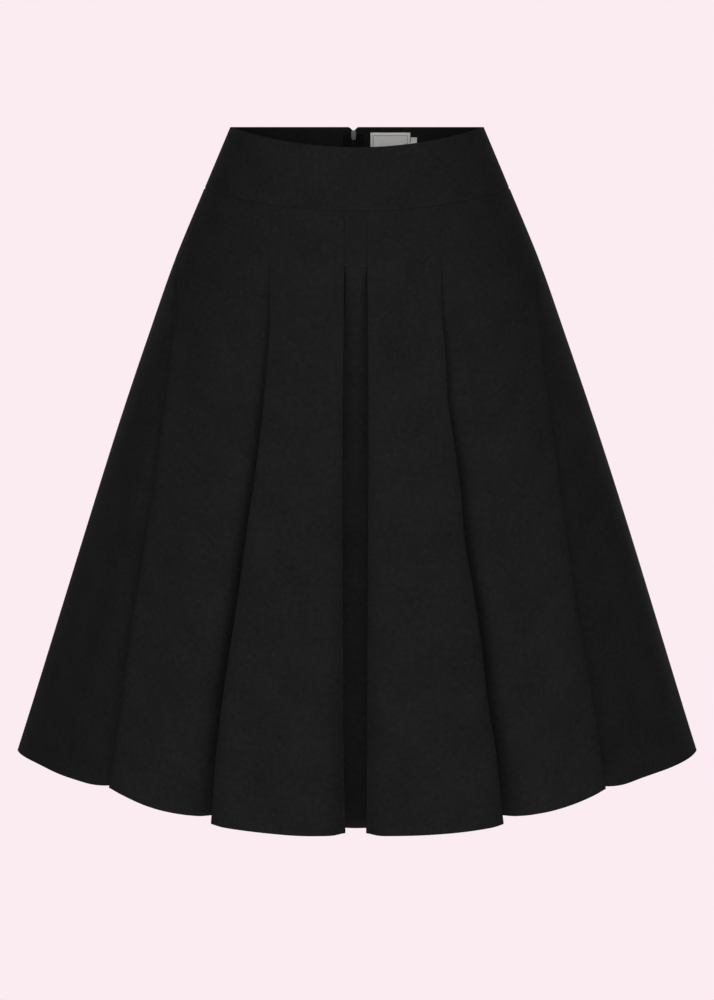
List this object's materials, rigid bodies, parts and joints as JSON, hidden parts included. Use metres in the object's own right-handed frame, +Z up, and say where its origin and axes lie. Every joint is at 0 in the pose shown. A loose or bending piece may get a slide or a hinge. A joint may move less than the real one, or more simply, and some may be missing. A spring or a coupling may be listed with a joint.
{
  "type": "pleated circle skirt",
  "caption": "Knee-length flared skirt with a wide shaped waistband, stitched-down pleats, an inverted box pleat at the front and a zip at the back, shown filled out.",
  "frame": {"origin": "middle of the waist opening, level with the back's top edge, where the wearer's waist holds the skirt", "axes": "+Z up, the front faces -Y, the wearer's left is +X"},
  "size_m": [0.696, 0.4698, 0.6707],
  "materials": {
    "cloth": "matt black plain-woven suiting",
    "tape": "black woven zip tape",
    "coil": "black nylon coil",
    "zip_metal": "dark grey lacquered metal",
    "label_satin": "off-white woven satin"
  },
  "bodies": {
    "skirt": {"waistband_front": "cloth", "waistband_back_left": "cloth", "waistband_back_right": "cloth", "skirt_front": "cloth", "skirt_back_left": "cloth", "skirt_back_right": "cloth", "zip_tape_left": "tape", "zip_tape_right": "tape", "zip_coil_left": "coil", "zip_coil_right": "coil", "zip_slider": "zip_metal", "label": "label_satin", "size_tab": "label_satin"},
    "pull_tab": {"zip_pull": "zip_metal"}
  },
  "joints": [
    {"name": "pull_swing", "type": "hinge", "parent": "skirt", "child": "pull_tab", "pos_m": [-0.0035, 0.09968, -0.00819], "axis": [1, 0, 0], "range_deg": [0, 150]}
  ]
}
